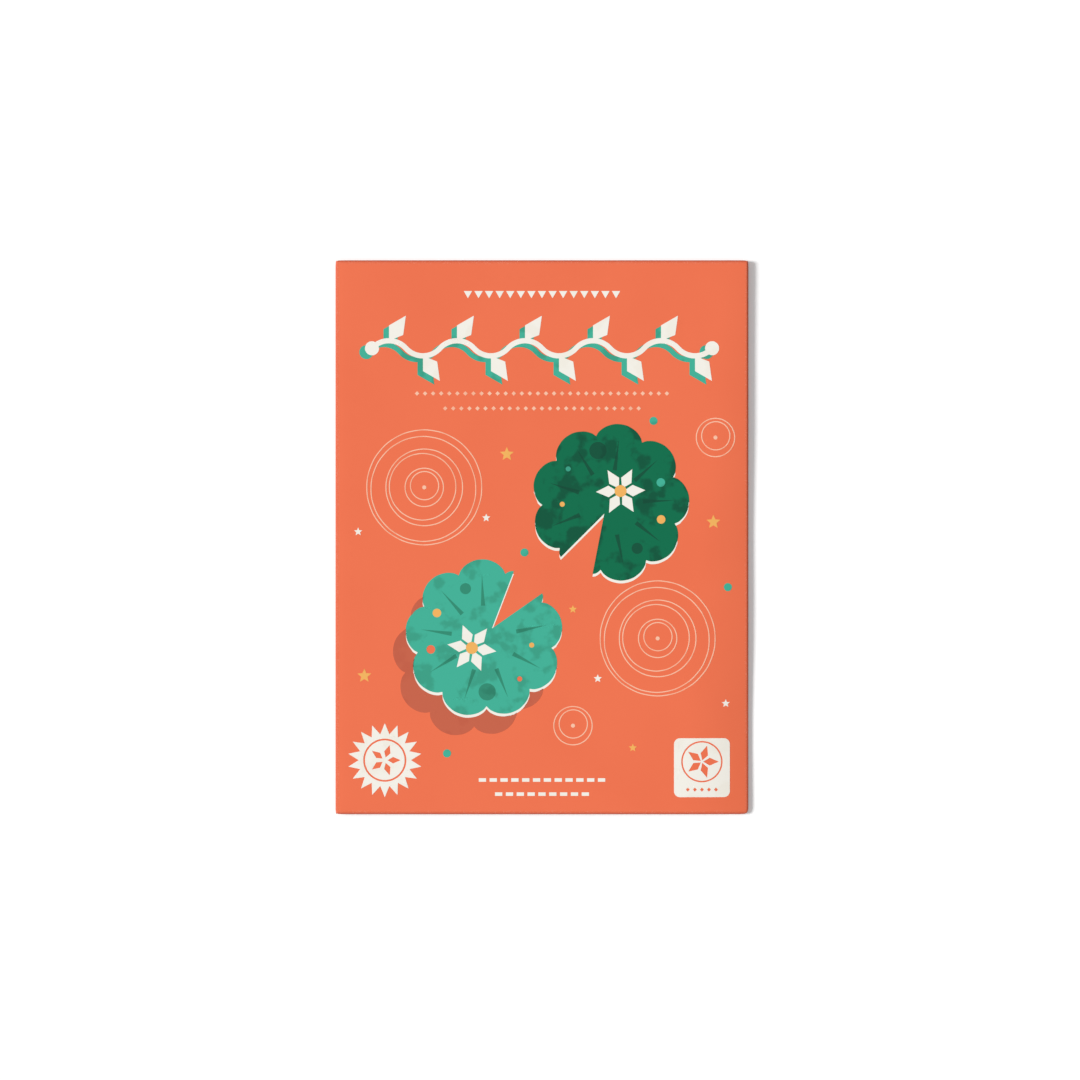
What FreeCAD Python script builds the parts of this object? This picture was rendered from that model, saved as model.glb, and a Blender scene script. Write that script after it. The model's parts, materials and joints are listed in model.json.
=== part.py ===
import FreeCAD, Part
import math
import os

import Sketcher

# Sealed card packet of a paper craft kit, lying on its back with its printed front up.
# +X is the packet's right, +Y its top and +Z its front. The origin is under the middle of
# the packet, on the plane of the glued flaps that it lies on. Lengths are in millimetres.

SIZES = {
    # folded card
    "packet_width": 164,
    "packet_height": 220,
    "card_thickness": 0.4,
    "contents_thickness": 2.4,
    "fold_radius": 0.8,
    "seam_inset": 1.6,
    "corner_slit": 0.3,
    "closure_flap_depth": 35,
    "base_flap_depth": 22,
    "flap_side_gap": 2,
    "flap_taper": 12,
    "flap_corner_radius": 6,
    # printing
    "ink_thickness": 0.05,
    "header_count": 15,
    "header_pitch": 4.2,
    "header_radius": 1.9,
    "round_sides": 12,
    "ring_sides": 18,
    "garland_waves": 5,
    "garland_wave": 27,
    "garland_rise": 3,
    "stem_width": 2.1,
    "leaf_length": 12,
    "leaf_width": 6.8,
    "leaf_belly_share": 0.42,
    "leaf_lean": 56,
    "bud_radius": 2.8,
    "garland_shade_left": 2.2,
    "garland_shade_down": 1.5,
    "bead_pitch": 3.2,
    "bead_radius": 0.9,
    "bead_count_upper": 32,
    "bead_count_lower": 25,
    "dash_pitch": 4.3,
    "dash_length": 2.9,
    "dash_height": 1.4,
    "dash_count_upper": 12,
    "dash_count_lower": 9,
    "pad_radius": 27,
    "pad_sides": 24,
    "lobe_count": 9,
    "lobe_sides": 14,
    "lobe_radius": 10.5,
    "lobe_rise": 4.4,
    "notch_angle": 34,
    "notch_depth": 22,
    "paper_edge": 1.1,
    "vein_start": 13,
    "vein_length": 12.5,
    "vein_width": 1.7,
    "blotch_radius": 3.4,
    "small_blotch_radius": 2.2,
    "spot_radius": 1.7,
    "small_spot_radius": 1,
    "petal_count": 6,
    "petal_length": 8.6,
    "petal_width": 4.6,
    "petal_start": 1.2,
    "flower_heart_radius": 2.4,
    "pad_shade_left": 5,
    "pad_shade_down": 8,
    "ripple_line": 0.4,
    "ripple_step": 7.6,
    "ripple_pair_gap": 2,
    "ripple_pair_shift": 0.7,
    "ripple_left_count": 3,
    "ripple_right_count": 3,
    "ripple_low_count": 1,
    "ripple_top_count": 1,
    "big_star_radius": 2.9,
    "small_star_radius": 1.7,
    "star_waist_share": 0.45,
    "star_points": 5,
    "dot_radius": 1.6,
    "badge_points": 18,
    "badge_radius": 14.7,
    "badge_inner_radius": 10.4,
    "badge_margin_side": 4.9,
    "badge_margin_bottom": 6.8,
    "badge_ring_radius": 8.2,
    "badge_ring_line": 0.7,
    "badge_leaf_count": 5,
    "badge_leaf_length": 5.2,
    "badge_leaf_width": 2.6,
    "badge_leaf_start": 1.1,
    "label_width": 22.2,
    "label_height": 23.4,
    "label_corner_radius": 2.4,
    "label_margin_side": 7.4,
    "label_margin_bottom": 6.8,
    "rosette_rise": 2.4,
    "rosette_ring_radius": 7.9,
    "rosette_ring_line": 0.6,
    "rosette_petal_count": 5,
    "rosette_petal_length": 6.2,
    "rosette_petal_width": 3.1,
    "rosette_petal_start": 0.5,
    "label_bead_count": 5,
    "label_bead_pitch": 2.8,
    "label_bead_radius": 0.8,
    "label_bead_drop": 8.7,
}

# Places on the front, as shares of its half width and half height from its middle.
PLACES = {
    "header": (0, 0.88),
    "garland": (0, 0.682),
    "beads_upper": (0, 0.519),
    "beads_lower": (0, 0.465),
    "dashes_upper": (0, -0.876),
    "dashes_lower": (0, -0.927),
    "green_pad": (0.33, 0.125),
    "mint_pad": (-0.28, -0.365),
    "ripple_left": (-0.57, 0.18),
    "ripple_right": (0.56, -0.365),
    "ripple_low": (0.15, -0.68),
    "ripple_top": (0.84, 0.36),
    "amber_star_high": (-0.17, 0.3),
    "amber_star_right": (0.83, 0.055),
    "amber_star_left": (-0.86, -0.5),
    "amber_star_middle": (0.15, -0.26),
    "amber_star_low": (0.44, -0.76),
    "cream_star_left": (-0.89, 0.02),
    "cream_star_low": (0.27, -0.51),
    "cream_star_right": (0.89, -0.6),
    "cream_star_middle": (-0.27, 0.07),
    "mint_dot_middle": (-0.085, -0.055),
    "mint_dot_right": (0.9, -0.18),
    "mint_dot_low": (-0.46, -0.78),
    "mint_dot_high": (0.54, 0.42),
}

# What lies on a water leaf, across and up from its middle in millimetres, before it is turned.
LEAF_PLACES = {
    "flower": (-6, 1.5),
    "blotch_large": (-16, -14),
    "blotch_small": (11, 18),
    "mint_spot": (-16.5, 14),
    "mint_spot_small": (-4, -21),
    "amber_spot": (-3.6, 21),
    "amber_spot_small": (9.5, -16.5),
}

RIPPLES = ("ripple_left", "ripple_right", "ripple_low", "ripple_top")
BIG_STARS = ("amber_star_high", "amber_star_right", "amber_star_left")
GREEN_PAD_TURN = -118
MINT_PAD_TURN = 52
RIPPLE_LEAN = 80
INKS = ("cream_ink", "peach_ink", "mint_ink", "mint_shade_ink", "green_ink", "green_shade_ink",
        "amber_ink", "coral_shade_ink")

FRONT_FACE = "3 * sizes.card_thickness + sizes.contents_thickness"
WALLET_THICKNESS = "2 * sizes.card_thickness + sizes.contents_thickness"
INK = "sizes.ink_thickness"
START, END, CENTRE = range(1, 4)
ORIGIN = (-1, START)
TRIANGLE, DIAMOND = "3", "4"

UP = FreeCAD.Vector(0, 0, 1)

doc = FreeCAD.newDocument("craft_packet")
sheet = doc.addObject("Spreadsheet::Sheet", "sizes")


def fill_sheet():
    cells = dict(SIZES)
    for places, unit in ((PLACES, "_share"), (LEAF_PLACES, "")):
        for spot, (across, up) in places.items():
            cells[f"{spot}_across{unit}"] = across
            cells[f"{spot}_up{unit}"] = up
    for row, (alias, value) in enumerate(cells.items(), start=1):
        sheet.set(f"A{row}", str(value))
        sheet.setAlias(f"A{row}", alias)
    doc.recompute()


def size(alias):
    return float(sheet.get(alias))


# Sketches and their pads

def new_body(name):
    return doc.addObject("PartDesign::Body", name)


def origin_feature(body, role):
    return [feature for feature in body.Origin.OriginFeatures if feature.Role == role][0]


def new_sketch(body, name, plane="XY_Plane"):
    sketch = body.newObject("Sketcher::SketchObject", name)
    sketch.AttachmentSupport = [(origin_feature(body, plane), "")]
    sketch.MapMode = "FlatFace"
    return sketch


def bind(sketch, name, expression, constraint):
    """Add a dimension and let the sheet drive it."""
    sketch.renameConstraint(sketch.addConstraint(constraint), name)
    sketch.setExpression(f"Constraints.{name}", expression)


def bind_across(sketch, name, expression, start, end):
    run = sketch.getPoint(*end).x - sketch.getPoint(*start).x
    bind(sketch, name, expression, Sketcher.Constraint("DistanceX", *start, *end, run))


def bind_up(sketch, name, expression, start, end):
    rise = sketch.getPoint(*end).y - sketch.getPoint(*start).y
    bind(sketch, name, expression, Sketcher.Constraint("DistanceY", *start, *end, rise))


def bind_centred(sketch, name, width, left, right):
    """A width with its middle over the origin."""
    bind_across(sketch, name, width, left, right)
    bind_across(sketch, f"{name}_half", f"({width}) / 2", left, ORIGIN)


def pin(sketch, name, point, across, up):
    """Hold a point at its distances from the origin, each kept positive."""
    drawn = sketch.getPoint(*point)
    if drawn.x < -1e-9:
        bind_across(sketch, f"{name}_across", f"-({across})", point, ORIGIN)
    else:
        bind_across(sketch, f"{name}_across", across, ORIGIN, point)
    if drawn.y < -1e-9:
        bind_up(sketch, f"{name}_up", f"-({up})", point, ORIGIN)
    else:
        bind_up(sketch, f"{name}_up", up, ORIGIN, point)


def bind_radius(sketch, name, expression, curve):
    bind(sketch, name, expression, Sketcher.Constraint("Radius", curve, sketch.Geometry[curve].Radius))


def draw_loop(sketch, corners, square=True):
    """Closed loop of straight lines. A square one keeps its level and upright lines so."""
    points = [FreeCAD.Vector(across, up, 0) for across, up in corners]
    lines = []
    for start, end in zip(points, points[1:] + points[:1]):
        line = sketch.addGeometry(Part.LineSegment(start, end), False)
        if square and abs(start.y - end.y) < 1e-9:
            sketch.addConstraint(Sketcher.Constraint("Horizontal", line))
        elif square and abs(start.x - end.x) < 1e-9:
            sketch.addConstraint(Sketcher.Constraint("Vertical", line))
        lines.append(line)
    for line, following in zip(lines, lines[1:] + lines[:1]):
        sketch.addConstraint(Sketcher.Constraint("Coincident", line, END, following, START))
    return lines


def pad(body, sketch, name, length, symmetric=False):
    feature = body.newObject("PartDesign::Pad", name)
    feature.Profile = sketch
    feature.SideType = "Symmetric" if symmetric else "One side"
    feature.setExpression("Length", length)
    return feature


def pocket(body, sketch, name, length, symmetric=False, reversed_way=False):
    feature = body.newObject("PartDesign::Pocket", name)
    feature.Profile = sketch
    feature.SideType = "Symmetric" if symmetric else "One side"
    feature.Reversed = reversed_way
    feature.setExpression("Length", length)
    return feature


def round_edges(body, base, name, radius, wanted):
    """Fillet the edges of the base whose middle satisfies the test."""
    doc.recompute()
    names = []
    for number, edge in enumerate(base.Shape.Edges, start=1):
        if wanted(edge, edge.CenterOfMass):
            names.append(f"Edge{number}")
    feature = body.newObject("PartDesign::Fillet", name)
    feature.Base = (base, names)
    feature.setExpression("Radius", radius)
    return feature


def runs_along(edge, axis):
    ends = [vertex.Point for vertex in edge.Vertexes]
    return len(ends) == 2 and abs((ends[1] - ends[0]).normalize().dot(axis)) > 0.999999


# Folded card

def card_section(body):
    """Section across the packet: front, side folds, and the back lapped over a glued tab."""
    half = size("packet_width") / 2
    back = size("card_thickness")
    tab = 2 * back
    front = tab + back + size("contents_thickness")
    lap = half - size("seam_inset")
    sketch = new_sketch(body, "card_section", "XZ_Plane")
    back_line, lap_line, tab_line, right_line, front_line, left_line = draw_loop(sketch, [
        (-half, back), (lap, back), (lap, tab), (half, tab), (half, front), (-half, front)])
    bind_centred(sketch, "width", "sizes.packet_width", (front_line, END), (front_line, START))
    bind_across(sketch, "seam_inset", "sizes.seam_inset", (tab_line, START), (tab_line, END))
    bind_up(sketch, "lap", "sizes.card_thickness", (lap_line, START), (lap_line, END))
    bind_up(sketch, "flap_plane", "sizes.card_thickness", ORIGIN, (back_line, START))
    bind_up(sketch, "wallet", WALLET_THICKNESS, (back_line, START), (left_line, START))
    wallet = pad(body, sketch, "wallet", "sizes.packet_height", symmetric=True)

    def is_side_fold(edge, middle):
        on_side = abs(abs(middle.x) - half) < 1e-6
        return on_side and runs_along(edge, FreeCAD.Vector(0, 1, 0))

    return round_edges(body, wallet, "side_folds", "sizes.fold_radius", is_side_fold)


def end_folds(body):
    """Round the front and back edges at both ends, where the card folds over."""
    radius = size("fold_radius")
    end = size("packet_height") / 2
    back = size("card_thickness")
    front = 3 * back + size("contents_thickness")
    sketch = new_sketch(body, "end_folds", "YZ_Plane")
    for number, (side, level, inward) in enumerate(
            [(1, front, -1), (-1, front, -1), (1, back, 1), (-1, back, 1)]):
        corner = FreeCAD.Vector(side * end, level, 0)
        beside = FreeCAD.Vector(side * (end - radius), level, 0)
        below = FreeCAD.Vector(side * end, level + inward * radius, 0)
        centre = FreeCAD.Vector(beside.x, below.y, 0)
        sweep = centre + (corner - centre).normalize() * radius
        level_line = sketch.addGeometry(Part.LineSegment(beside, corner), False)
        upright_line = sketch.addGeometry(Part.LineSegment(corner, below), False)
        fold = sketch.addGeometry(Part.Arc(below, sweep, beside), False)
        starts_below = (sketch.getPoint(fold, START) - below).Length < 1e-6
        below_end, beside_end = (START, END) if starts_below else (END, START)
        for constraint in [
                Sketcher.Constraint("Horizontal", level_line),
                Sketcher.Constraint("Vertical", upright_line),
                Sketcher.Constraint("Coincident", level_line, END, upright_line, START),
                Sketcher.Constraint("Tangent", fold, below_end, upright_line, END),
                Sketcher.Constraint("Tangent", fold, beside_end, level_line, START)]:
            sketch.addConstraint(constraint)
        bind_radius(sketch, f"fold_{number}", "sizes.fold_radius", fold)
        height = FRONT_FACE if level == front else "sizes.card_thickness"
        pin(sketch, f"corner_{number}", (level_line, END), f"{side} * sizes.packet_height / 2", height)
    return pocket(body, sketch, "end_folds_cut", "2 * sizes.packet_width", symmetric=True)


def glued_flap(body, name, depth, side):
    """Tapered flap on the back, with the fold that brings it round the packet's end."""
    root = size("packet_width") / 2 - size("flap_side_gap")
    tip = root - size("flap_taper")
    end = size("packet_height") / 2
    fold = size("fold_radius")
    card = size("card_thickness")
    root_line_up = side * (end - fold)
    tip_line_up = side * (end - size(depth))
    flap_width = "(sizes.packet_width - 2 * sizes.flap_side_gap)"

    outline = new_sketch(body, f"{name}_outline")
    root_line, _, tip_line, _ = draw_loop(outline, [
        (-root, root_line_up), (root, root_line_up), (tip, tip_line_up), (-tip, tip_line_up)])
    bind_centred(outline, "root", flap_width, (root_line, START), (root_line, END))
    tip_width = f"{flap_width} - 2 * sizes.flap_taper"
    bind_centred(outline, "tip", tip_width, (tip_line, END), (tip_line, START))
    for label, line, reach in [
            ("root_up", root_line, "sizes.fold_radius"), ("tip_up", tip_line, f"sizes.{depth}")]:
        ends = [ORIGIN, (line, START)] if side > 0 else [(line, START), ORIGIN]
        bind_up(outline, label, f"sizes.packet_height / 2 - {reach}", *ends)
    flap = pad(body, outline, name, "sizes.card_thickness")

    def is_tip_corner(edge, middle):
        on_tip = abs(middle.y - tip_line_up) < 1e-6 and abs(abs(middle.x) - tip) < 1e-6
        return on_tip and runs_along(edge, FreeCAD.Vector(0, 0, 1))

    round_edges(body, flap, f"{name}_corners", "sizes.flap_corner_radius", is_tip_corner)

    turn = new_sketch(body, f"{name}_fold_profile", "YZ_Plane")
    inner = side * (end - 2 * fold)
    level, end_line, _, _ = draw_loop(turn, [
        (inner, 0), (side * end, 0), (side * end, card + fold), (inner, card + fold)])
    bind_up(turn, "height", "sizes.card_thickness + sizes.fold_radius", (end_line, START), (end_line, END))
    bind_up(turn, "plane", "0", ORIGIN, (level, START))
    near, far = ((level, START), (level, END)) if side > 0 else ((level, END), (level, START))
    bind_across(turn, "depth", "2 * sizes.fold_radius", near, far)
    ends = [ORIGIN, (level, END)] if side > 0 else [(level, END), ORIGIN]
    bind_across(turn, "end", "sizes.packet_height / 2", *ends)
    fold_pad = pad(body, turn, f"{name}_fold", flap_width, symmetric=True)

    def is_outer_fold(edge, middle):
        on_fold = abs(middle.y - side * end) < 1e-6 and abs(middle.z) < 1e-6
        return on_fold and runs_along(edge, FreeCAD.Vector(1, 0, 0))

    return round_edges(body, fold_pad, f"{name}_turn", "sizes.fold_radius", is_outer_fold)


def corner_slits(body):
    """Slits where the end walls meet the side folds, a card deep and under the front panel."""
    sketch = new_sketch(body, "corner_slits")
    outer = size("packet_width") / 2 - size("card_thickness")
    inner = outer - size("corner_slit")
    end = size("packet_height") / 2
    depth = end - size("card_thickness")
    for number, (side, top) in enumerate([(-1, -1), (-1, 1), (1, -1), (1, 1)]):
        left, right = sorted([side * outer, side * inner])
        low, high = sorted([top * depth, top * end])
        base, right_line, _, left_line = draw_loop(
            sketch, [(left, low), (right, low), (right, high), (left, high)])
        bind_across(sketch, f"slit_{number}", "sizes.corner_slit", (base, START), (base, END))
        bind_up(sketch, f"depth_{number}", "sizes.card_thickness", (right_line, START), (right_line, END))
        across = [ORIGIN, (right_line, START)] if side > 0 else [(left_line, START), ORIGIN]
        bind_across(sketch, f"side_{number}", "sizes.packet_width / 2 - sizes.card_thickness", *across)
        up = [ORIGIN, (right_line, END)] if top > 0 else [(right_line, START), ORIGIN]
        bind_up(sketch, f"end_{number}", "sizes.packet_height / 2", *up)
    return pocket(body, sketch, "corner_slits_cut", f"{FRONT_FACE} - sizes.card_thickness",
                  reversed_way=True)


def sealed_packet():
    body = new_body("sealed_packet")
    card_section(body)
    end_folds(body)
    glued_flap(body, "closure_flap", "closure_flap_depth", 1)
    glued_flap(body, "base_flap", "base_flap_depth", -1)
    corner_slits(body)
    return body


# Motifs, drawn about the origin on the plane that the ink lies on

def prism(name, sides, radius):
    item = doc.addObject("Part::Prism", name)
    item.setExpression("Polygon", sides)
    item.setExpression("Circumradius", radius)
    item.setExpression("Height", INK)
    return item


def round_dot(name, radius):
    """Small round mark, as a polygon with sides enough to read as round."""
    return prism(name, "sizes.round_sides", radius)


def bar(name, length, height):
    item = doc.addObject("Part::Box", name)
    item.setExpression("Length", length)
    item.setExpression("Width", height)
    item.setExpression("Height", INK)
    return item


def cut(name, base, tool):
    item = doc.addObject("Part::Cut", name)
    item.Base = base
    item.Tool = tool
    return item


def fuse(name, items):
    item = doc.addObject("Part::MultiFuse", name)
    item.Shapes = items
    return item


def group(name, items):
    """Items that nowhere overlap, kept as separate solids."""
    item = doc.addObject("Part::Compound", name)
    item.Links = items
    return item


def place(item, across, up, turn=0):
    item.Placement = FreeCAD.Placement(FreeCAD.Vector(), FreeCAD.Rotation(UP, turn))
    item.setExpression("Placement.Base.x", across)
    item.setExpression("Placement.Base.y", up)
    return item


def front_place(spot):
    """Expressions for a place on the front, across and up."""
    return (f"sizes.{spot}_across_share * sizes.packet_width / 2",
            f"sizes.{spot}_up_share * sizes.packet_height / 2")


def place_on_front(item, spot, turn=0, left="0", down="0"):
    across, up = front_place(spot)
    return place(item, f"{across} - {left}", f"{up} - {down}", turn)


def place_on_leaf(item, spot):
    return place(item, f"sizes.{spot}_across", f"sizes.{spot}_up")


def copy_of(source, name, spot, turn=0, left="0", down="0"):
    return place_on_front(group(name, [source]), spot, turn, left, down)


def thin_ring(name, radius, line):
    outer = prism(f"{name}_outer", "sizes.ring_sides", f"{radius} + {line} / 2")
    inner = prism(f"{name}_inner", "sizes.ring_sides", f"{radius} - {line} / 2")
    return cut(name, outer, inner)


def star(name, points, tip_radius, waist_radius):
    """Star with straight equal sides. The radii are expressions with their drawn values."""
    body = new_body(name)
    sketch = new_sketch(body, f"{name}_outline")
    corners = []
    for corner in range(2 * points):
        reach = tip_radius[1] if corner % 2 == 0 else waist_radius[1]
        angle = math.pi / 2 + math.pi * corner / points
        corners.append((reach * math.cos(angle), reach * math.sin(angle)))
    sides = draw_loop(sketch, corners, square=False)
    middle = FreeCAD.Vector(0, 0, 0)
    circles = []
    for label, (expression, reach) in [("tips", tip_radius), ("waists", waist_radius)]:
        circle = sketch.addGeometry(Part.Circle(middle, UP, reach), True)
        sketch.addConstraint(Sketcher.Constraint("Coincident", circle, CENTRE, *ORIGIN))
        bind_radius(sketch, label, expression, circle)
        circles.append(circle)
    for corner, side in enumerate(sides):
        sketch.addConstraint(Sketcher.Constraint("PointOnObject", side, START, circles[corner % 2]))
    for side in sides[1:]:
        sketch.addConstraint(Sketcher.Constraint("Equal", sides[0], side))
    sketch.addConstraint(Sketcher.Constraint("Vertical", *ORIGIN, sides[0], START))
    pad(body, sketch, f"{name}_ink", INK)
    return body


def scaled(alias, share=None):
    """Expression and drawn value of one cell, or of its product with another."""
    if share is None:
        return f"sizes.{alias}", size(alias)
    return f"sizes.{alias} * sizes.{share}", size(alias) * size(share)


def draw_leaf(sketch, name, root, lean, length, width):
    """Folded-paper leaf, a kite with its widest place at a share of its length.

    Its root is an (expression, value) pair each way, and so is its lean.
    """
    (across, across_drawn), (up, up_drawn) = root
    (turn, turn_drawn) = lean
    long_drawn, half_drawn = size(length), size(width) / 2
    belly = size("leaf_belly_share") * long_drawn
    along = FreeCAD.Vector(math.cos(math.radians(turn_drawn)), math.sin(math.radians(turn_drawn)), 0)
    beside = FreeCAD.Vector(-along.y, along.x, 0)
    base = FreeCAD.Vector(across_drawn, up_drawn, 0)
    corners = [base, base + along * belly - beside * half_drawn, base + along * long_drawn,
               base + along * belly + beside * half_drawn]
    right_low, right_high, left_high, left_low = draw_loop(
        sketch, [(corner.x, corner.y) for corner in corners], square=False)
    sketch.addConstraint(Sketcher.Constraint("Equal", right_low, left_low))
    sketch.addConstraint(Sketcher.Constraint("Equal", right_high, left_high))
    pin(sketch, f"{name}_root", (right_low, START), across, up)
    pin(sketch, f"{name}_tip", (left_high, START),
        f"{across} + sizes.{length} * cos({turn})", f"{up} + sizes.{length} * sin({turn})")
    bind(sketch, f"{name}_width", f"sizes.{width}",
         Sketcher.Constraint("Distance", right_low, END, left_low, START, 2 * half_drawn))
    bind(sketch, f"{name}_side", f"sqrt((sizes.leaf_belly_share * sizes.{length})^2 + (sizes.{width} / 2)^2)",
         Sketcher.Constraint("Distance", right_low, START, right_low, END, math.hypot(belly, half_drawn)))


def petals(name, prefix):
    """Ring of pointed petals, from the four sizes that start with the prefix."""
    body = new_body(name)
    sketch = new_sketch(body, f"{name}_petal")
    start = (f"sizes.{prefix}_start", size(f"{prefix}_start"))
    draw_leaf(sketch, "petal", (start, ("0", 0)), ("0", 0), f"{prefix}_length", f"{prefix}_width")
    petal = pad(body, sketch, f"{name}_petal_ink", INK)
    around = body.newObject("PartDesign::PolarPattern", f"{name}_around")
    around.Originals = [petal]
    around.Axis = (origin_feature(body, "Z_Axis"), [""])
    around.Angle = 360
    around.setExpression("Occurrences", f"sizes.{prefix}_count")
    body.Tip = around
    return body


# Garland

def stem_arch(body, name, side):
    """Half a wave of the stem: a band between two arcs, over (1) or under (-1) its middle line."""
    chord, rise = size("garland_wave") / 2, size("garland_rise")
    line = size("stem_width") / 2
    bend = (chord ** 2 / 4 + rise ** 2) / (2 * rise)
    bend_sized = "((sizes.garland_wave^2 / 16 + sizes.garland_rise^2) / (2 * sizes.garland_rise))"
    first = -size("garland_waves") * size("garland_wave") / 2
    middle_across = first + (chord / 2 if side > 0 else 3 * chord / 2)
    waves_before = "sizes.garland_waves / 2 - " + ("0.25" if side > 0 else "0.75")
    middle = FreeCAD.Vector(middle_across, side * (rise - bend), 0)
    reach = FreeCAD.Vector(chord / 2, side * (bend - rise), 0) * (1 / bend)
    mirrored = FreeCAD.Vector(-reach.x, reach.y, 0)
    crown = FreeCAD.Vector(0, side, 0)
    near, far = bend - line, bend + line
    first_way, last_way = (reach, mirrored) if side > 0 else (mirrored, reach)
    sketch = new_sketch(body, f"{name}_outline")
    arcs = [sketch.addGeometry(Part.Arc(
        middle + first_way * radius, middle + crown * radius, middle + last_way * radius), False)
        for radius in (near, far)]
    for label, (arc, radius) in zip(("near", "far"), zip(arcs, ("-", "+"))):
        bind_radius(sketch, label, f"{bend_sized} {radius} sizes.stem_width / 2", arc)
    sketch.addConstraint(Sketcher.Constraint("Coincident", arcs[0], CENTRE, arcs[1], CENTRE))
    pin(sketch, "middle", (arcs[0], CENTRE), f"-({waves_before}) * sizes.garland_wave",
        f"{side} * (sizes.garland_rise - {bend_sized})")
    for end, way in ((START, first_way), (END, last_way)):
        tie = sketch.addGeometry(Part.LineSegment(middle + way * near, middle + way * far), False)
        sketch.addConstraint(Sketcher.Constraint("Coincident", tie, START, arcs[0], end))
        sketch.addConstraint(Sketcher.Constraint("Coincident", tie, END, arcs[1], end))
        sketch.addConstraint(Sketcher.Constraint("PointOnObject", arcs[0], CENTRE, tie))
        half_chord = "sizes.garland_wave / 4"
        share = f"(1 - sizes.stem_width / 2 / {bend_sized})"
        ends = [(arcs[0], CENTRE), (tie, START)] if way.x > 0 else [(tie, START), (arcs[0], CENTRE)]
        bind_across(sketch, f"half_chord_{end}", f"{half_chord} * {share}", *ends)
    return pad(body, sketch, name, INK)


def garland(name):
    """Waved stem with a leaf at each crest and hollow, as a row of equal waves."""
    body = new_body(name)
    wave = [stem_arch(body, f"{name}_crest", 1), stem_arch(body, f"{name}_hollow", -1)]
    first = -size("garland_waves") * size("garland_wave") / 2
    for side, share in ((1, 0.25), (-1, 0.75)):
        sketch = new_sketch(body, f"{name}_leaf_{'up' if side > 0 else 'down'}")
        across = (f"(({share} - sizes.garland_waves / 2) * sizes.garland_wave)",
                  first + share * size("garland_wave"))
        up = (f"{side} * sizes.garland_rise", side * size("garland_rise"))
        lean = (f"{side} * sizes.leaf_lean", side * size("leaf_lean"))
        draw_leaf(sketch, "leaf", (across, up), lean, "leaf_length", "leaf_width")
        wave.append(pad(body, sketch, f"{sketch.Name}_ink", INK))
    row = body.newObject("PartDesign::LinearPattern", f"{name}_waves")
    row.Originals = wave
    row.Direction = (origin_feature(body, "X_Axis"), [""])
    row.Mode = "Spacing"
    row.setExpression("Offset", "sizes.garland_wave")
    row.setExpression("Occurrences", "sizes.garland_waves")
    body.Tip = row
    buds = []
    for side in (-1, 1):
        bud = round_dot(f"{name}_bud_{'left' if side < 0 else 'right'}", "sizes.bud_radius")
        buds.append(place(bud, f"{side} * sizes.garland_waves * sizes.garland_wave / 2", "0"))
    return fuse(f"{name}_with_buds", [body] + buds)


# Water leaf

def leaf_notch():
    """Wedge that opens the water leaf towards +X."""
    body = new_body("leaf_notch")
    sketch = new_sketch(body, "notch_outline")
    apex = size("pad_radius") - size("notch_depth")
    mouth = size("pad_radius") + 2 * size("lobe_rise")
    spread = (mouth - apex) * math.tan(math.radians(size("notch_angle") / 2))
    apex_reach = "(sizes.pad_radius - sizes.notch_depth)"
    mouth_reach = "(sizes.pad_radius + 2 * sizes.lobe_rise)"
    lower, _, upper = draw_loop(
        sketch, [(apex, 0), (mouth, -spread), (mouth, spread)], square=False)
    pin(sketch, "apex", (lower, START), apex_reach, "0")
    for label, corner, side in (("below", (lower, END), -1), ("above", (upper, START), 1)):
        pin(sketch, label, corner, mouth_reach,
            f"{side} * ({mouth_reach} - {apex_reach}) * tan(sizes.notch_angle / 2)")
    pad(body, sketch, "notch_wedge", INK)
    return body


def water_leaf():
    """Scalloped round leaf with a notch, drawn with the notch towards +X."""
    scallops = [prism("leaf_disc", "sizes.pad_sides", "sizes.pad_radius")]
    reach = "(sizes.pad_radius + sizes.lobe_rise - sizes.lobe_radius)"
    for number in range(int(size("lobe_count"))):
        lobe = prism(f"leaf_lobe_{number + 1}", "sizes.lobe_sides", "sizes.lobe_radius")
        turn = f"({number} * 360 / sizes.lobe_count)"
        scallops.append(place(lobe, f"{reach} * cos({turn})", f"{reach} * sin({turn})",
                              number * 360 / size("lobe_count")))
    return cut("water_leaf", fuse("leaf_scallops", scallops), leaf_notch())


def veins():
    """Tapered veins, one to each lobe but the one that the notch takes."""
    body = new_body("leaf_veins")
    sketch = new_sketch(body, "vein")
    start, end = size("vein_start"), size("vein_start") + size("vein_length")
    half = size("vein_width") / 2
    lower, upper, _ = draw_loop(sketch, [(start, -half), (end, 0), (start, half)], square=False)
    pin(sketch, "below", (lower, START), "sizes.vein_start", "-sizes.vein_width / 2")
    pin(sketch, "tip", (lower, END), "sizes.vein_start + sizes.vein_length", "0")
    pin(sketch, "above", (upper, END), "sizes.vein_start", "sizes.vein_width / 2")
    vein = pad(body, sketch, "vein_ink", INK)
    around = body.newObject("PartDesign::PolarPattern", "veins_around")
    around.Originals = [vein]
    around.Axis = (origin_feature(body, "Z_Axis"), [""])
    around.setExpression("Angle", "360 - 720 / sizes.lobe_count")
    around.setExpression("Occurrences", "sizes.lobe_count - 1")
    body.Tip = around
    return place(group("leaf_veins_turned", [body]), "0", "0", 360 / size("lobe_count"))


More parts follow.
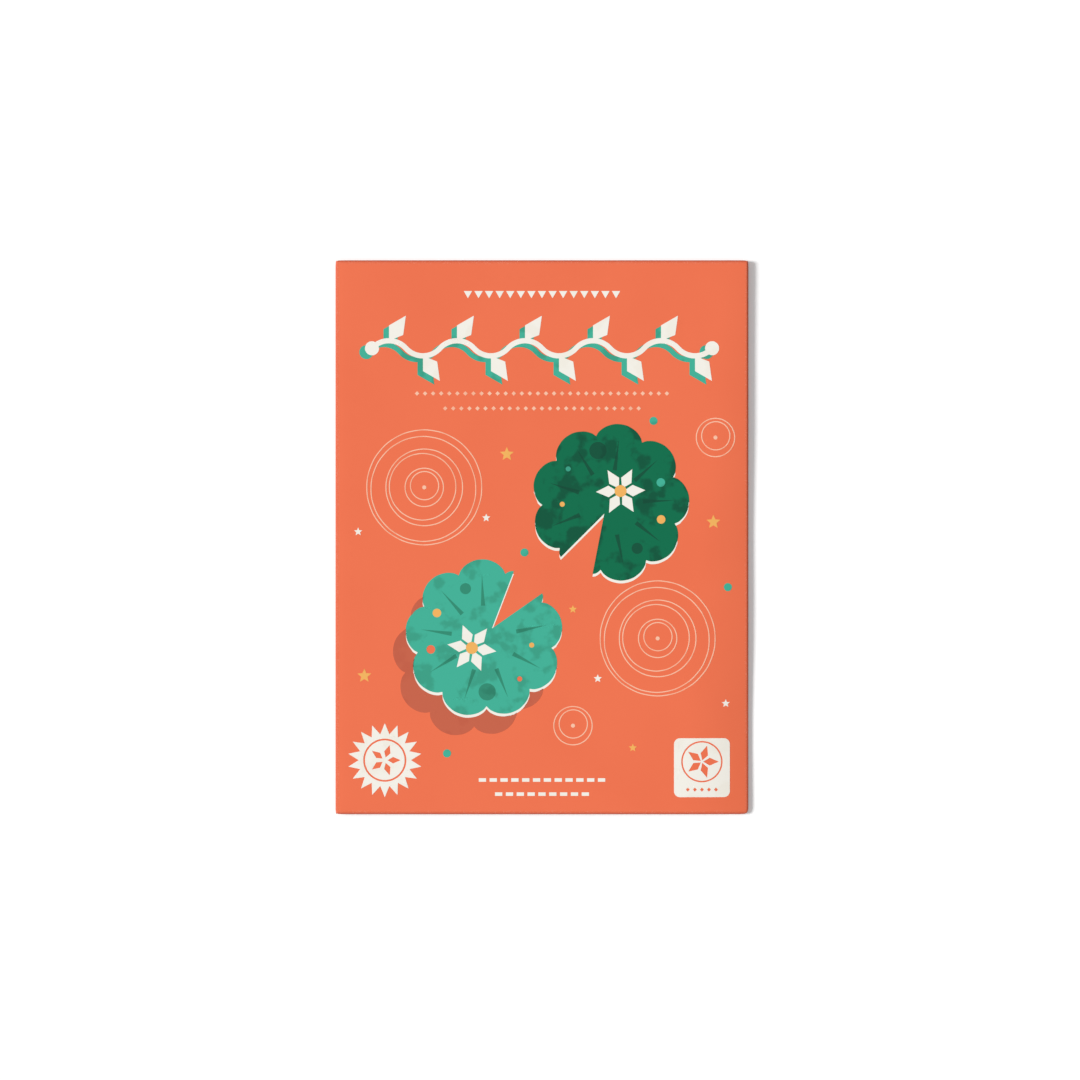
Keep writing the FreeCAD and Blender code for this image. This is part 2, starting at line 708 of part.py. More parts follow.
def leaf_films():
    """The leaf's inks, each knocked out of its green, still about the leaf's middle."""
    leaf = water_leaf()
    blotches = [place_on_leaf(round_dot(spot, f"sizes.{radius}"), spot) for spot, radius in [
        ("blotch_large", "blotch_radius"), ("blotch_small", "small_blotch_radius")]]
    shade = group("leaf_shade", [veins()] + blotches)
    petal_ring = place_on_leaf(group("flower_petals", [petals("flower", "petal")]), "flower")
    heart = place_on_leaf(round_dot("flower_heart", "sizes.flower_heart_radius"), "flower")
    flower = fuse("whole_flower", [petal_ring, heart])
    spots = {}
    for ink in ("mint", "amber"):
        spots[ink] = group(f"{ink}_spots", [
            place_on_leaf(round_dot(f"{ink}_{kind}", f"sizes.{radius}"), f"{ink}_{kind}")
            for kind, radius in (("spot", "spot_radius"), ("spot_small", "small_spot_radius"))])
    return {
        "outline": leaf,
        "field": cut("leaf_field", leaf, group("leaf_knock_outs", [shade, flower, *spots.values()])),
        "shade": shade,
        "petals": cut("leaf_petals", petal_ring, heart),
        "hearts": group("leaf_hearts", [heart, spots["amber"]]),
        "spots": spots["mint"],
    }


# Corner marks

def badge():
    """Starburst in the lower left corner. Its ring and leaves are bare card."""
    burst = star("badge_burst", int(size("badge_points")),
                 scaled("badge_radius"), scaled("badge_inner_radius"))
    bare = fuse("badge_bare", [
        thin_ring("badge_ring", "sizes.badge_ring_radius", "sizes.badge_ring_line"),
        petals("badge_leaves", "badge_leaf")])
    return place(cut("badge", burst, bare),
                 "sizes.badge_margin_side + sizes.badge_radius - sizes.packet_width / 2",
                 "sizes.badge_margin_bottom + sizes.badge_radius - sizes.packet_height / 2")


def label():
    """Rounded label in the lower right corner, with a bare rosette over a row of beads."""
    body = new_body("label_field")
    sketch = new_sketch(body, "label_outline")
    half_width, half_height = size("label_width") / 2, size("label_height") / 2
    base, right, _, _ = draw_loop(sketch, [
        (-half_width, -half_height), (half_width, -half_height),
        (half_width, half_height), (-half_width, half_height)])
    bind_centred(sketch, "width", "sizes.label_width", (base, START), (base, END))
    bind_up(sketch, "height", "sizes.label_height", (right, START), (right, END))
    bind_up(sketch, "height_half", "sizes.label_height / 2", (right, START), ORIGIN)
    field = pad(body, sketch, "label_ink", INK)
    round_edges(body, field, "label_corners", "sizes.label_corner_radius",
                lambda edge, middle: runs_along(edge, UP))
    rosette = fuse("rosette", [
        thin_ring("rosette_ring", "sizes.rosette_ring_radius", "sizes.rosette_ring_line"),
        petals("rosette_petals", "rosette_petal")])
    place(rosette, "0", "sizes.rosette_rise")
    beads = bead_row("label_beads", "label_bead_count", "label_bead_pitch", "label_bead_radius",
                     "0", "-sizes.label_bead_drop")
    return place(cut("label", body, group("label_bare", [rosette, beads])),
                 "sizes.packet_width / 2 - sizes.label_margin_side - sizes.label_width / 2",
                 "sizes.label_margin_bottom + sizes.label_height / 2 - sizes.packet_height / 2")


# Rows of small marks

def row_of(make_mark, name, count, pitch, across, up, turn=0):
    """Equal marks in a level row with its middle at the given place."""
    marks = []
    for number in range(int(size(count))):
        step = f"({number} - (sizes.{count} - 1) / 2) * sizes.{pitch}"
        mark = make_mark(f"{name}_{number + 1}")
        marks.append(place(mark, f"{across} + {step}", up, turn))
    return group(name, marks)


def pennants():
    return row_of(lambda name: prism(name, TRIANGLE, "sizes.header_radius"), "pennants", "header_count",
                  "header_pitch", *front_place("header"), turn=-90)


def bead_row(name, count, pitch, radius, across, up):
    return row_of(lambda mark: prism(mark, DIAMOND, f"sizes.{radius}"), name, count, pitch, across, up)


def dash_row(name, count):
    across, up = front_place(name)
    return row_of(lambda mark: bar(mark, "sizes.dash_length", "sizes.dash_height"), name, count,
                  "dash_pitch", f"{across} - sizes.dash_length / 2", f"{up} - sizes.dash_height / 2")


def ripple(name):
    """Rounds of thin twin rings about a spot. Each inner twin leans another way."""
    rings = [round_dot(f"{name}_spot", "sizes.ripple_line * 2")]
    for number in range(1, int(size(f"{name}_count")) + 1):
        radius = f"{number} * sizes.ripple_step"
        rings.append(thin_ring(f"{name}_outer_{number}", radius, "sizes.ripple_line"))
        twin = thin_ring(f"{name}_twin_{number}", f"{radius} - sizes.ripple_pair_gap",
                         "sizes.ripple_line")
        lean = RIPPLE_LEAN * number
        rings.append(place(twin, f"sizes.ripple_pair_shift * cos({lean})",
                           f"sizes.ripple_pair_shift * sin({lean})"))
    return place_on_front(group(name, rings), name)


# The whole front

def printed_inks():
    """Each ink's films, over the whole front."""
    inks = {name: [] for name in INKS}
    stem = garland("garland")
    vine = copy_of(stem, "garland_on_top", "garland")
    under = copy_of(stem, "garland_under", "garland",
                    left="sizes.garland_shade_left", down="sizes.garland_shade_down")
    inks["cream_ink"] += [pennants(), vine, badge(), label(),
                          dash_row("dashes_upper", "dash_count_upper"),
                          dash_row("dashes_lower", "dash_count_lower")]
    inks["mint_ink"].append(cut("garland_shade", under, vine))
    for row in ("upper", "lower"):
        inks["peach_ink"].append(bead_row(f"beads_{row}", f"bead_count_{row}", "bead_pitch",
                                          "bead_radius", *front_place(f"beads_{row}")))
    inks["peach_ink"] += [ripple(name) for name in RIPPLES]

    leaf = leaf_films()
    for spot, turn, field, shade in [
            ("green_pad", GREEN_PAD_TURN, "green_ink", "green_shade_ink"),
            ("mint_pad", MINT_PAD_TURN, "mint_ink", "mint_shade_ink")]:
        outline = copy_of(leaf["outline"], f"{spot}_outline", spot, turn)
        edge = copy_of(leaf["outline"], f"{spot}_edge", spot, turn, down="sizes.paper_edge")
        inks["cream_ink"] += [cut(f"{spot}_paper_edge", edge, outline),
                              copy_of(leaf["petals"], f"{spot}_petals", spot, turn)]
        inks[field].append(copy_of(leaf["field"], f"{spot}_field", spot, turn))
        inks[shade].append(copy_of(leaf["shade"], f"{spot}_shade", spot, turn))
        inks["amber_ink"].append(copy_of(leaf["hearts"], f"{spot}_hearts", spot, turn))
        if spot == "green_pad":
            inks["mint_ink"].append(copy_of(leaf["spots"], f"{spot}_spots", spot, turn))
        else:
            cast = copy_of(leaf["outline"], f"{spot}_cast", spot, turn,
                           left="sizes.pad_shade_left", down="sizes.pad_shade_down")
            over = fuse(f"{spot}_over_cast", [outline, edge])
            inks["coral_shade_ink"].append(cut(f"{spot}_cast_shade", cast, over))

    big, small = [star(f"{name}_star", int(size("star_points")), scaled(f"{name}_star_radius"),
                       scaled(f"{name}_star_radius", "star_waist_share")) for name in ("big", "small")]
    for spot in PLACES:
        if spot in BIG_STARS:
            inks["amber_ink"].append(copy_of(big, spot, spot))
        elif spot.startswith("amber_star"):
            inks["amber_ink"].append(copy_of(small, spot, spot))
        elif spot.startswith("cream_star"):
            inks["cream_ink"].append(copy_of(small, spot, spot))
        elif spot.startswith("mint_dot"):
            inks["mint_ink"].append(place_on_front(round_dot(spot, "sizes.dot_radius"), spot))
    return inks


def ink_node(name, films):
    node = group(name, films)
    node.setExpression("Placement.Base.z", FRONT_FACE)
    return node


# Checked and written

def faults():
    found = [f"{item.Name}: {', '.join(item.State)}" for item in doc.Objects
             if "Invalid" in item.State or "Error" in item.State]
    for node in nodes:
        shape = node.Shape
        if shape.isNull() or not shape.isValid() or not shape.Solids:
            found.append(f"{node.Label}: no valid solid")
    return found


fill_sheet()
nodes = [sealed_packet()]
nodes += [ink_node(name, films) for name, films in printed_inks().items()]
doc.recompute()
if faults():
    raise SystemExit("\n".join(faults()))
os.makedirs("parts", exist_ok=True)
for node in nodes:
    node.Shape.exportStep(f"parts/{node.Label}.step")
    print(f"{node.Label}: {len(node.Shape.Solids)} solids, {node.Shape.Volume:.3f} mm3")
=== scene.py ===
import json
import math

import bpy
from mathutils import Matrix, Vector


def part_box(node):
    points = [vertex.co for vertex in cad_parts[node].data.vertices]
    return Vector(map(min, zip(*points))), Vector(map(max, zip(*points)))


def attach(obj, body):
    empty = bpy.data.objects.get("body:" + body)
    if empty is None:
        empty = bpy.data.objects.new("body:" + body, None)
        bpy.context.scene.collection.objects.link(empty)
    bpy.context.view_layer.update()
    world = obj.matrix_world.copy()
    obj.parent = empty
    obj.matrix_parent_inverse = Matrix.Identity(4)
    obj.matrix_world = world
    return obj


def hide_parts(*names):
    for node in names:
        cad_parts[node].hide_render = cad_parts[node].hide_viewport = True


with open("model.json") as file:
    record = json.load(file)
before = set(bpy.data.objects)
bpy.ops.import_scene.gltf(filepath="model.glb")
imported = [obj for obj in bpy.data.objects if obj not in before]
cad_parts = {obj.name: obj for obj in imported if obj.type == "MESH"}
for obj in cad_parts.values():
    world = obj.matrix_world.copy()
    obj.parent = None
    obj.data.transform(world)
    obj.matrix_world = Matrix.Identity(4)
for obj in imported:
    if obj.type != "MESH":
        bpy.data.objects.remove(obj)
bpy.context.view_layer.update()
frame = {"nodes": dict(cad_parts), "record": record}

# everything below is in metres, one millimetre is this long
mm = 0.001

# places closer than this count as the same one
hair = 0.01 * mm

joining = {
    "mergeGap": 0.002 * mm,
    "cutGap": 0.0005 * mm,
}

smoothTurn = math.radians(32)


# small helpers for working on one piece at a time

def useOnly(piece):
    if bpy.context.mode != "OBJECT":
        bpy.ops.object.mode_set(mode="OBJECT")
    bpy.ops.object.select_all(action="DESELECT")
    piece.select_set(True)
    bpy.context.view_layer.objects.active = piece


def justAdded(name):
    piece = bpy.context.active_object
    piece.name = name
    piece.data.name = name
    useOnly(piece)
    return piece


def settle(piece):
    # its place goes into the mesh and the object back to the origin
    useOnly(piece)
    bpy.ops.object.transform_apply(location=True, rotation=True, scale=True)


def addBlock(name, low, high):
    middle = [(a + b) / 2 for a, b in zip(low, high)]
    sides = [b - a for a, b in zip(low, high)]
    bpy.ops.mesh.primitive_cube_add(size=1, location=middle, scale=sides)
    block = justAdded(name)
    settle(block)
    return block


def pick(piece, kind, wanted):
    # leaves the piece in edit mode with only the wanted points, edges or faces selected
    useOnly(piece)
    bpy.ops.object.mode_set(mode="EDIT")
    bpy.ops.mesh.select_mode(type=kind)
    bpy.ops.mesh.select_all(action="DESELECT")
    bpy.ops.object.mode_set(mode="OBJECT")
    mesh = piece.data
    if kind == "VERT":
        for point in mesh.vertices:
            point.select = wanted(point.co)
    if kind == "EDGE":
        for edge in mesh.edges:
            start, end = [mesh.vertices[index].co for index in edge.vertices]
            edge.select = wanted(start, end)
    if kind == "FACE":
        for face in mesh.polygons:
            face.select = wanted(face.center, face.normal)
    bpy.ops.object.mode_set(mode="EDIT")


def backToObject():
    bpy.ops.object.mode_set(mode="OBJECT")


def combine(piece, tool, operation):
    useOnly(piece)
    boolean = piece.modifiers.new(operation.lower(), "BOOLEAN")
    boolean.operation = operation
    boolean.solver = "EXACT"
    boolean.object = tool
    bpy.ops.object.modifier_apply(modifier=boolean.name)
    bpy.data.objects.remove(tool)


def cleanUp(piece):
    useOnly(piece)
    bpy.ops.object.mode_set(mode="EDIT")
    bpy.ops.mesh.select_all(action="SELECT")
    bpy.ops.mesh.remove_doubles(threshold=joining["mergeGap"])
    bpy.ops.mesh.normals_make_consistent(inside=False)
    backToObject()


# how the front of the packet gives: the sheets inside stop short of the folds, so the card
# sinks at its margins, most of all towards the lower right corner

low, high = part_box("sealed_packet")
halfWidth, halfHeight = high.x, high.y
frontFace = high.z

give = {
    "rightReachTop": 9 * mm,
    "rightReachBottom": 28 * mm,
    "rightTop": 0.15 * mm,
    "rightBottom": 1.75 * mm,
    "rightGrowth": 0.95,
    "leftReach": 5 * mm,
    "left": 0.12 * mm,
    "endReach": 6 * mm,
    "end": 0.15 * mm,
    "crown": 0.08 * mm,
    "ripple": 0.16,
    "rippleLength": 80 * mm,
    "rippleFrom": -73 * mm,
    "startsAt": 1.2 * mm,
    "cornerReach": 2.6 * mm,
    "corner": 0.3 * mm,
    "crushedCorner": 0.75 * mm,
}


def margin(distance, reach):
    return max(0, 1 - distance / reach) ** 2


def dipAt(x, y):
    down = min(1, max(0, (halfHeight - y) / (2 * halfHeight)))
    right = give["rightTop"] + (give["rightBottom"] - give["rightTop"]) * down ** give["rightGrowth"]
    right *= 1 + give["ripple"] * math.cos(2 * math.pi * (y - give["rippleFrom"]) / give["rippleLength"])
    reach = give["rightReachTop"] + (give["rightReachBottom"] - give["rightReachTop"]) * down
    dip = right * margin(halfWidth - x, reach)
    dip += give["left"] * margin(halfWidth + x, give["leftReach"])
    dip += give["end"] * margin(halfHeight - abs(y), give["endReach"])
    dip += give["crown"] * ((x / halfWidth) ** 2 + (y / halfHeight) ** 2) / 2
    return dip


def rubCorner(point):
    # corners are rubbed round, and the lower right one is knocked in
    across, up = halfWidth - abs(point.x), halfHeight - abs(point.y)
    near = max(0, 1 - math.hypot(across, up) / give["cornerReach"])
    knocked = point.x > 0 and point.y < 0
    push = (give["crushedCorner"] if knocked else give["corner"]) * near ** 2 / math.sqrt(2)
    point.x -= math.copysign(push, point.x)
    point.y -= math.copysign(push, point.y)


def spread(start, end, step):
    count = round((end - start) / step)
    return [start + (end - start) * number / count for number in range(count + 1)]


creases = {
    "across": [-81.1] + spread(-80.5, -74, 1.6) + spread(-62, 46, 12) + spread(52, 80.5, 1.9) + [81.1],
    "up": [-109.1] + spread(-108.3, -102, 1.3) + spread(-94, 94, 8) + spread(102, 108.3, 1.3) + [109.1],
}


def sinkMargins(piece):
    # cut into strips that can bend, then let down with the front of the packet
    useOnly(piece)
    bpy.ops.object.mode_set(mode="EDIT")
    cuts = [((line * mm, 0, 0), (1, 0, 0)) for line in creases["across"]]
    cuts += [((0, line * mm, 0), (0, 1, 0)) for line in creases["up"]]
    for point, normal in cuts:
        bpy.ops.mesh.select_all(action="SELECT")
        bpy.ops.mesh.bisect(plane_co=point, plane_no=normal, threshold=joining["cutGap"])
    # the cuts can leave slivers with no area
    bpy.ops.mesh.select_all(action="SELECT")
    bpy.ops.mesh.dissolve_degenerate(threshold=joining["cutGap"])
    backToObject()
    for point in piece.data.vertices:
        share = (point.co.z - give["startsAt"]) / (frontFace - give["startsAt"])
        point.co.z -= dipAt(point.co.x, point.co.y) * min(1, max(0, share))
        rubCorner(point.co)
    piece.data.update()


# folded card

card = {
    "thickness": 0.4 * mm,
    "foldRadius": 0.8 * mm,
    "foldSteps": 6,
    "lapInset": 1.6 * mm,
    "slitWidth": 0.3 * mm,
}


def makeSleeve():
    # front, side folds and back as one block, with the step where the back laps its tab
    back = card["thickness"]
    sleeve = addBlock("packetCard", (-halfWidth, -halfHeight, back), (halfWidth, halfHeight, frontFace))
    lapEdge = halfWidth - card["lapInset"]
    step = addBlock("lapStep", (lapEdge, -2 * halfHeight, -back), (2 * halfWidth, 2 * halfHeight, 2 * back))
    combine(sleeve, step, "DIFFERENCE")

    def isFold(start, end):
        run = end - start
        middle = (start + end) / 2
        side = abs(abs(middle.x) - halfWidth) < hair and abs(run.y) > halfHeight
        tip = abs(abs(middle.y) - halfHeight) < hair and abs(run.x) > halfWidth
        return side or tip

    pick(sleeve, "EDGE", isFold)
    bpy.ops.mesh.bevel(offset=card["foldRadius"], segments=card["foldSteps"], profile=0.5,
                       affect="EDGES", clamp_overlap=False)
    backToObject()
    return sleeve


flaps = {
    "closureFlap": {"side": 1, "depth": 35 * mm},
    "baseFlap": {"side": -1, "depth": 22 * mm},
    "sideGap": 2 * mm,
    "taper": 12 * mm,
    "cornerRadius": 6 * mm,
    "cornerSteps": 8,
    "turnDepth": 1.6 * mm,
    "turnHeight": 2 * mm,
    "glueLine": 0.02 * mm,
}


def makeFlap(name):
    side, depth = flaps[name]["side"], flaps[name]["depth"]
    end = side * (halfHeight - flaps["glueLine"])
    root = end - side * flaps["turnDepth"]
    tip = side * (halfHeight - depth)
    wide = halfWidth - flaps["sideGap"]
    bpy.ops.mesh.primitive_plane_add(size=1, location=(0, (root + tip) / 2, 0))
    flap = justAdded(name)
    flap.scale = (2 * wide, abs(root - tip), 1)
    settle(flap)

    # narrower at its tip, with rounded corners
    pick(flap, "VERT", lambda point: abs(point.y - tip) < hair)
    narrow = (wide - flaps["taper"]) / wide
    bpy.ops.transform.resize(value=(narrow, 1, 1), center_override=(0, tip, 0))
    slant = math.atan2(flaps["taper"], abs(root - tip))
    cornerRun = flaps["cornerRadius"] / math.tan(math.radians(45) + slant / 2)
    bpy.ops.mesh.bevel(offset=cornerRun, segments=flaps["cornerSteps"], affect="VERTICES")

    # card thickness, then round the end of the packet
    thick = card["thickness"] + flaps["glueLine"]
    bpy.ops.mesh.select_all(action="SELECT")
    bpy.ops.mesh.extrude_region_move(TRANSFORM_OT_translate={"value": (0, 0, thick)})
    bpy.ops.mesh.select_all(action="SELECT")
    bpy.ops.mesh.normals_make_consistent(inside=False)
    pick(flap, "FACE", lambda middle, normal: normal.y * side > 0.99 and abs(middle.y - root) < hair)
    bpy.ops.mesh.extrude_region_move(TRANSFORM_OT_translate={"value": (0, end - root, 0)})
    pick(flap, "FACE", lambda middle, normal: normal.z > 0.99 and (middle.y - root) * side > 0)
    bpy.ops.mesh.extrude_region_move(TRANSFORM_OT_translate={"value": (0, 0, flaps["turnHeight"] - thick)})
    pick(flap, "EDGE", lambda start, stop: (abs(start.y - end) + abs(stop.y - end) < hair
                                            and max(start.z, stop.z) < hair))
    bpy.ops.mesh.bevel(offset=card["foldRadius"], segments=card["foldSteps"], profile=0.5,
                       affect="EDGES", clamp_overlap=False)
    backToObject()
    cleanUp(flap)
    return flap


def makePacket():
    packet = makeSleeve()
    for name in ("closureFlap", "baseFlap"):
        combine(packet, makeFlap(name), "UNION")
    outer = halfWidth - card["thickness"]
    inner = outer - card["slitWidth"]
    deep = halfHeight - card["thickness"]
    for side in (-1, 1):
        for end in (-1, 1):
            near, far = sorted((side * outer, side * inner))
            start, stop = sorted((end * deep, end * 2 * halfHeight))
            slit = addBlock("slit", (near, start, -card["thickness"]),
                            (far, stop, frontFace - card["thickness"]))
            combine(packet, slit, "DIFFERENCE")
    cleanUp(packet)
    sinkMargins(packet)
    return packet


# printed inks, traced from the frame's films so that each lies where the frame has it

tracing = {
    "roundTurn": smoothTurn,
    "evenness": 2.5,
    "smoothness": 6,
    "thickness": 0.05 * mm,
}


def isRound(before, here, after):
    # a point in the run of a curve, not a corner or the end of a straight side
    arriving, leaving = here - before, after - here
    if min(arriving.length, leaving.length) == 0:
        return False
    uneven = max(arriving.length, leaving.length) / min(arriving.length, leaving.length)
    return arriving.angle(leaving) < tracing["roundTurn"] and uneven < tracing["evenness"]


def traceFilm(node, name):
    piece = bpy.data.objects.new(name, frame["nodes"][node].data.copy())
    bpy.context.scene.collection.objects.link(piece)
    cleanUp(piece)

    # only the outline of the film's top is kept
    pick(piece, "FACE", lambda middle, normal: normal.z < 0.9)
    bpy.ops.mesh.delete(type="FACE")
    bpy.ops.mesh.select_all(action="SELECT")
    bpy.ops.mesh.region_to_loop()
    bpy.ops.mesh.select_all(action="INVERT")
    bpy.ops.mesh.delete(type="EDGE")
    bpy.ops.mesh.select_all(action="SELECT")
    bpy.ops.mesh.delete(type="ONLY_FACE")
    backToObject()

    # drawn again as a flat filled curve, smooth along its rounds and sharp at its corners
    bpy.ops.object.convert(target="CURVE")
    piece = bpy.context.active_object
    piece.data.dimensions = "2D"
    piece.data.fill_mode = "BOTH"
    piece.data.extrude = tracing["thickness"] / 2
    piece.data.resolution_u = tracing["smoothness"]
    bpy.ops.object.mode_set(mode="EDIT")
    bpy.ops.curve.select_all(action="SELECT")
    bpy.ops.curve.spline_type_set(type="BEZIER")
    bpy.ops.curve.handle_type_set(type="VECTOR")
    backToObject()
    for spline in piece.data.splines:
        spline.use_cyclic_u = True
        points = spline.bezier_points
        places = [point.co.copy() for point in points]
        for number, point in enumerate(points):
            if isRound(places[number - 1], places[number], places[(number + 1) % len(points)]):
                point.handle_left_type = "AUTO"
                point.handle_right_type = "AUTO"
    bpy.ops.object.convert(target="MESH")
    piece = justAdded(name)
    piece.location.z = frontFace + tracing["thickness"] / 2
    settle(piece)
    cleanUp(piece)
    sinkMargins(piece)
    return piece


# finishes

def socketsOf(group, inputs, outputs):
    for name, kind, value in inputs:
        socket = group.interface.new_socket(name=name, in_out="INPUT", socket_type=kind)
        socket.default_value = value
    for name, kind in outputs:
        group.interface.new_socket(name=name, in_out="OUTPUT", socket_type=kind)
    return group.nodes.new("NodeGroupInput"), group.nodes.new("NodeGroupOutput")


def addNode(tree, kind, **settings):
    node = tree.nodes.new(kind)
    for name, value in settings.items():
        setattr(node, name, value)
    return node


def addMath(tree, operation, first, second=None, clamp=False):
    node = addNode(tree, "ShaderNodeMath", operation=operation, use_clamp=clamp)
    for number, value in enumerate((first, second)):
        if value is None:
            continue
        if isinstance(value, (int, float)):
            node.inputs[number].default_value = value
        else:
            tree.links.new(value, node.inputs[number])
    return node.outputs[0]


def addNoise(tree, place, scale, detail=2, roughness=0.5):
    noise = addNode(tree, "ShaderNodeTexNoise")
    tree.links.new(place, noise.inputs["Vector"])
    noise.inputs["Detail"].default_value = detail
    noise.inputs["Roughness"].default_value = roughness
    if isinstance(scale, (int, float)):
        noise.inputs["Scale"].default_value = scale
    else:
        tree.links.new(scale, noise.inputs["Scale"])
    return noise.outputs["Fac"]


def blendColors(tree, share, first, second):
    blend = addNode(tree, "ShaderNodeMix", data_type="RGBA")
    for socket, value in (("Factor", share), ("A", first), ("B", second)):
        if isinstance(value, (list, tuple)):
            blend.inputs[socket].default_value = value
        else:
            tree.links.new(value, blend.inputs[socket])
    return blend.outputs["Result"]


grainLook = {
    "fibreScale": 2600,
    "cockleScale": 110,
    "cockleShare": 1.6,
    "roughnessSwing": 0.16,
    "bumpStrength": 0.5,
    "specular": 0.15,
}


def makeCardGrain():
    # fine fibre and the slow cockle of coated card, as a height and a change of roughness
    group = bpy.data.node_groups.new("cardGrain", "ShaderNodeTree")
    start, end = socketsOf(
        group,
        [("Fibre Scale", "NodeSocketFloat", grainLook["fibreScale"]),
         ("Cockle Scale", "NodeSocketFloat", grainLook["cockleScale"]),
         ("Roughness", "NodeSocketFloat", 0.6)],
        [("Height", "NodeSocketFloat"), ("Roughness", "NodeSocketFloat")])
    place = addNode(group, "ShaderNodeTexCoord").outputs["Object"]
    fibre = addNoise(group, place, start.outputs["Fibre Scale"], detail=4, roughness=0.65)
    cockle = addNoise(group, place, start.outputs["Cockle Scale"], detail=1)
    height = addMath(group, "ADD", fibre, addMath(group, "MULTIPLY", cockle, grainLook["cockleShare"]))
    group.links.new(height, end.inputs["Height"])
    offMiddle = addMath(group, "SUBTRACT", fibre, 0.5)
    change = addMath(group, "MULTIPLY", offMiddle, grainLook["roughnessSwing"])
    group.links.new(addMath(group, "ADD", start.outputs["Roughness"], change), end.inputs["Roughness"])
    return group


inkLook = {
    "cloudMiddle": 0.55,
    "speckleScale": 4200,
}


def makeInkLay():
    # a solid of ink never lies quite even: slow clouds of a deeper tone and a fine speckle
    group = bpy.data.node_groups.new("inkLay", "ShaderNodeTree")
    start, end = socketsOf(
        group,
        [("Ink", "NodeSocketColor", (1, 1, 1, 1)), ("Deep", "NodeSocketColor", (0, 0, 0, 1)),
         ("Cloud Scale", "NodeSocketFloat", 60), ("Cloud Amount", "NodeSocketFloat", 0.3),
         ("Cloud Edge", "NodeSocketFloat", 0.2), ("Speckle Amount", "NodeSocketFloat", 0.1)],
        [("Color", "NodeSocketColor")])
    place = addNode(group, "ShaderNodeTexCoord").outputs["Object"]
    cloud = addNoise(group, place, start.outputs["Cloud Scale"], detail=3, roughness=0.45)
    ramp = addNode(group, "ShaderNodeMapRange", interpolation_type="SMOOTHSTEP")
    group.links.new(cloud, ramp.inputs["Value"])
    for operation, limit in (("SUBTRACT", "From Min"), ("ADD", "From Max")):
        value = addMath(group, operation, inkLook["cloudMiddle"], start.outputs["Cloud Edge"])
        group.links.new(value, ramp.inputs[limit])
    clouds = addMath(group, "MULTIPLY", ramp.outputs["Result"], start.outputs["Cloud Amount"])
    speckle = addNoise(group, place, inkLook["speckleScale"], detail=1)
    speckles = addMath(group, "MULTIPLY", speckle, start.outputs["Speckle Amount"])
    share = addMath(group, "ADD", clouds, speckles, clamp=True)
    laid = blendColors(group, share, start.outputs["Ink"], start.outputs["Deep"])
    group.links.new(laid, end.inputs["Color"])
    return group


wearLook = {
    "fleckFrom": 0.54,
    "fleckTo": 0.66,
}


def makeTurnShadeAndWear():
    # where the card turns at the packet's outline: a painted shade over the whole turn, standing in for
    # the light falling off round the fold, and pale worn flecks on its ridges
    group = bpy.data.node_groups.new("turnShadeAndWear", "ShaderNodeTree")
    start, end = socketsOf(
        group,
        [("Half Width", "NodeSocketFloat", halfWidth), ("Half Height", "NodeSocketFloat", halfHeight),
         ("Reach", "NodeSocketFloat", 0.001), ("Fleck Scale", "NodeSocketFloat", 900)],
        [("Turn", "NodeSocketFloat"), ("Flecks", "NodeSocketFloat")])
    place = addNode(group, "ShaderNodeTexCoord").outputs["Object"]
    parts = addNode(group, "ShaderNodeSeparateXYZ")
    group.links.new(place, parts.inputs["Vector"])
    gaps = []
    for axis, half in (("X", "Half Width"), ("Y", "Half Height")):
        offset = addMath(group, "ABSOLUTE", parts.outputs[axis])
        gaps.append(addMath(group, "SUBTRACT", start.outputs[half], offset))
    nearest = addMath(group, "DIVIDE", addMath(group, "MINIMUM", *gaps), start.outputs["Reach"])
    turn = addMath(group, "SUBTRACT", 1, nearest, clamp=True)
    group.links.new(turn, end.inputs["Turn"])
    # highest where the turn is half way round
    ridge = addMath(group, "MULTIPLY", addMath(group, "MULTIPLY", turn, nearest, clamp=True), 4)
    fleck = addNoise(group, place, start.outputs["Fleck Scale"], detail=4, roughness=0.75)
    sharp = addNode(group, "ShaderNodeMapRange")
    group.links.new(fleck, sharp.inputs["Value"])
    sharp.inputs["From Min"].default_value = wearLook["fleckFrom"]
    sharp.inputs["From Max"].default_value = wearLook["fleckTo"]
    group.links.new(addMath(group, "MULTIPLY", ridge, sharp.outputs["Result"]), end.inputs["Flecks"])
    return group


cardGrain = makeCardGrain()
inkLay = makeInkLay()
turnShadeAndWear = makeTurnShadeAndWear()


def linear(red, green, blue):
    # a printed colour as seen on a screen, 0 to 255, as Blender's own linear colour
    shares = [value / 255 for value in (red, green, blue)]
    return [share / 12.92 if share < 0.04045 else ((share + 0.055) / 1.055) ** 2.4
            for share in shares] + [1]


def addGroup(tree, group, **values):
    node = addNode(tree, "ShaderNodeGroup", node_tree=group)
    for name, value in values.items():
        node.inputs[name.replace("_", " ")].default_value = value
    return node


def newFinish(name, roughness, grainDepth, fibre=grainLook["fibreScale"]):
    finish = bpy.data.materials.new(name)
    finish.use_nodes = True
    tree = finish.node_tree
    shader = tree.nodes["Principled BSDF"]
    shader.inputs["Specular IOR Level"].default_value = grainLook["specular"]
    grain = addGroup(tree, cardGrain, Roughness=roughness, Fibre_Scale=fibre)
    tree.links.new(grain.outputs["Roughness"], shader.inputs["Roughness"])
    bump = addNode(tree, "ShaderNodeBump")
    bump.inputs["Strength"].default_value = grainLook["bumpStrength"]
    bump.inputs["Distance"].default_value = grainDepth
    tree.links.new(grain.outputs["Height"], bump.inputs["Height"])
    tree.links.new(bump.outputs["Normal"], shader.inputs["Normal"])
    return finish, tree, shader


coral = {
    "ink": (240, 117, 80),
    "deep": (233, 109, 73),
    # painted shade laid over the turn of the fold at the outline
    "paintedFoldShade": (188, 84, 60),
    "rubbed": (244, 190, 168),
    "turnReach": 1.8 * mm,
    "paintedShadePower": 2,
    "fleckScale": 2400,
    "fleckShare": 0.35,
}


